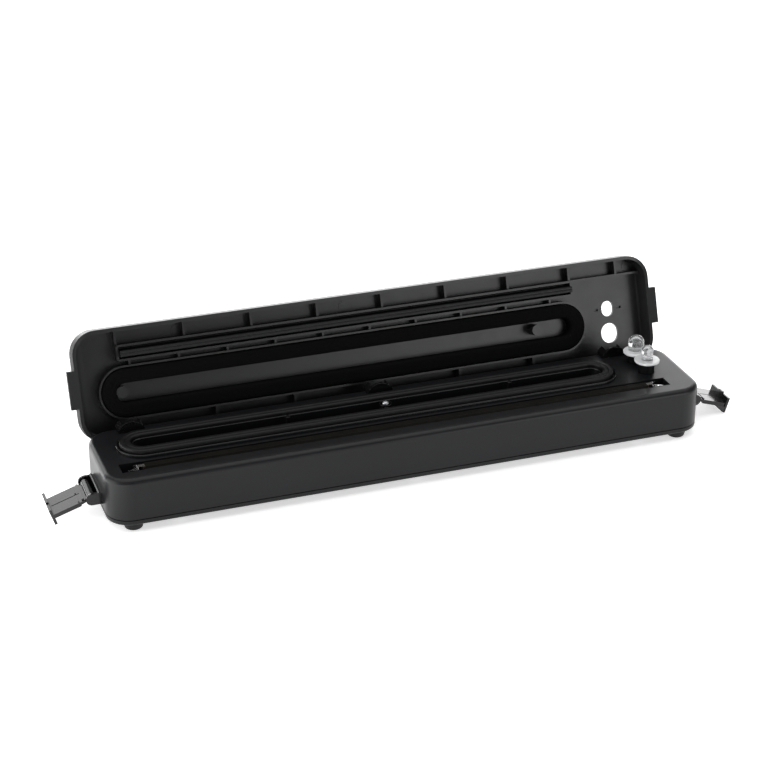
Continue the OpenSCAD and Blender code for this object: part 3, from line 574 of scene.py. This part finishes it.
def air_nozzle():
    """The suction nozzle: a black collar with a brim, and a bright steel valve in its mouth."""
    low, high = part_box("air_nozzle")
    floor, mouth = low.z + 7 * MM, high.z - 3.0 * MM
    spigot_r, flange_r, flange_top = 2 * MM, 4.6 * MM, floor + 1.2 * MM
    brim_r, brim_top = 3.7 * MM, high.z - 1.2 * MM
    outline = rounded([
        (0, low.z, 0), (spigot_r, low.z, 0.2 * MM), (spigot_r, floor, 0), (flange_r, floor, 0),
        (flange_r, flange_top, 0.5 * MM), (3 * MM, flange_top, 0.4 * MM),
        (2.7 * MM, high.z - 4.4 * MM, 0.3 * MM), (brim_r, high.z - 3.8 * MM, 0.2 * MM),
        (brim_r, brim_top, 0.4 * MM), (2.9 * MM, brim_top, 0.3 * MM), (2.8 * MM, mouth, 0),
        (0, mouth, 0),
    ], 6)
    piece = turned("nozzle_mushroom", outline, middle_of(low, high))
    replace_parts(dress(piece, "nozzle_plastic"), "air_nozzle")
    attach(piece, "base")
    valve_outline = rounded([
        (0, mouth, 0), (1.9 * MM, mouth, 0), (2.1 * MM, high.z - 1.0 * MM, 0.4 * MM),
        (1.2 * MM, high.z, 0.8 * MM), (0, high.z, 0),
    ], 6)
    valve = turned("nozzle_valve", valve_outline, middle_of(low, high))
    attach(dress(valve, "zinc_steel"), "base")


def button_cap(side, rod):
    """A clear cap: a round flange with eased edges and a rod that ends in a dome."""
    node = f"button_cap_{side}"
    low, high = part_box(node)
    flange = (high.x - low.x) / 2
    step = low.z + CAP_FLANGE
    outline = rounded([
        (0, low.z, 0), (flange, low.z, 0.3 * MM), (flange, step, 0.5 * MM), (rod, step, 0.6 * MM),
    ], 8)
    outline += arc((0, high.z - rod), rod, 0, 90, 24)
    piece = turned(f"cap_{side}", outline, middle_of(low, high), 96)
    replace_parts(dress(piece, "clear_plastic"), node)
    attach(piece, f"button_{side}")


gasket_ring()
foam_ring()
press_bar()
rubber_feet()
air_nozzle()
button_cap("front", 3.5 * MM)
button_cap("rear", 4.8 * MM)

# Edges left sharp by CAD, eased a little
EASED = {
    0.3 * MM: ("latch_bracket_left", "latch_bracket_right", "latch_lever_left", "latch_lever_right"),
    0.2 * MM: ("hinge_arms", "hinge_brackets", "wire_clips", "button_plunger_front",
               "button_plunger_rear"),
}
for width, nodes in EASED.items():
    for node in nodes:
        soften(node, width)


# ---- Studio: floor, soft light and camera --------------------------------------------------------

WHITE = (1, 1, 1)


def studio_floor(half=30, glow=0.55, left_glow=3.0, glow_start=-0.17, glow_stop=-0.32):
    """A wide pale floor that the feet stand on, lit from below like a light table.

    Its glow grows to left_glow between two places along X. This is painted light: a patch of floor left of the
    base glows as a lamp to brighten the base's left side.
    """
    shape = bmesh.new()
    places = [(-half, -half, 0), (half, -half, 0), (half, half, 0), (-half, half, 0)]
    shape.faces.new([shape.verts.new(place) for place in places])
    mesh = bpy.data.meshes.new("studio_floor")
    shape.to_mesh(mesh)
    shape.free()
    floor = bpy.data.objects.new("studio_floor", mesh)
    bpy.context.scene.collection.objects.link(floor)
    paper = Shader("studio_paper", Specular_IOR_Level=0.2, Roughness=0.8, Emission_Color=WHITE)
    tone = paper.spread(paper.noise(0.4, 2), 0, 1)
    paper.set(
        Base_Color=paper.mix(tone, tint(WHITE, 0.91), tint(WHITE, 0.93)),
        # Painted light: the floor glows, more strongly left of the base, shining there as a lamp would
        Emission_Strength=paper.spread(paper.along("X"), glow, left_glow, glow_start, glow_stop),
    )
    mesh.materials.append(paper.material)


def soft_box(name, place, aim, size, radiance):
    """A rectangular soft light aimed at a point, as bright per area as its radiance."""
    data = bpy.data.lights.new(name, "AREA")
    data.shape = "RECTANGLE"
    data.size, data.size_y = size
    data.energy = radiance * math.pi * size[0] * size[1]
    lamp = bpy.data.objects.new(name, data)
    lamp.location = place
    lamp.rotation_euler = (Vector(aim) - Vector(place)).to_track_quat("-Z", "Y").to_euler()
    lamp.visible_camera = False
    bpy.context.scene.collection.objects.link(lamp)


def studio_world(strength):
    """An even white sky."""
    world = bpy.data.worlds.new("studio_world")
    world.use_nodes = True
    background = world.node_tree.nodes["Background"]
    background.inputs["Color"].default_value = (*WHITE, 1)
    background.inputs["Strength"].default_value = strength
    bpy.context.scene.world = world


def camera(turn, lift, distance, target, lens):
    """A camera turned left of the front and lifted above the floor, in degrees, aimed at target."""
    turn, lift = math.radians(turn), math.radians(lift)
    level = math.cos(lift)
    away = Vector((-math.sin(turn) * level, -math.cos(turn) * level, math.sin(lift)))
    data = bpy.data.cameras.new("camera")
    data.sensor_width = 36
    data.lens = lens
    data.clip_start, data.clip_end = 0.01, 200
    made = bpy.data.objects.new("camera", data)
    made.location = Vector(target) + away * distance
    made.rotation_euler = (-away).to_track_quat("-Z", "Y").to_euler()
    bpy.context.scene.collection.objects.link(made)
    bpy.context.scene.camera = made


studio_floor()
studio_world(strength=0.26)
soft_box("top_box", place=(0.15, 0.45, 2.2), aim=(0.15, 0.45, 0), size=(3.6, 3.0), radiance=1.3)
soft_box("back_wall", place=(0.8, 2.6, 0.85), aim=(0.8, 0, 0.85), size=(4.8, 1.7), radiance=3.2)
soft_box("front_box", place=(1.05, -1.55, 0.45), aim=(0.1, 0.04, 0.06), size=(1.1, 0.7), radiance=3.3)
soft_box("left_box", place=(-1.9, 0.1, 0.7), aim=(-0.1, 0, 0.03), size=(1.8, 1.2), radiance=3.0)
camera(turn=19.4, lift=26.01, distance=1.16367, target=(-0.01085, 0, 0.05082), lens=95)
bpy.context.scene.view_settings.view_transform = "Standard"
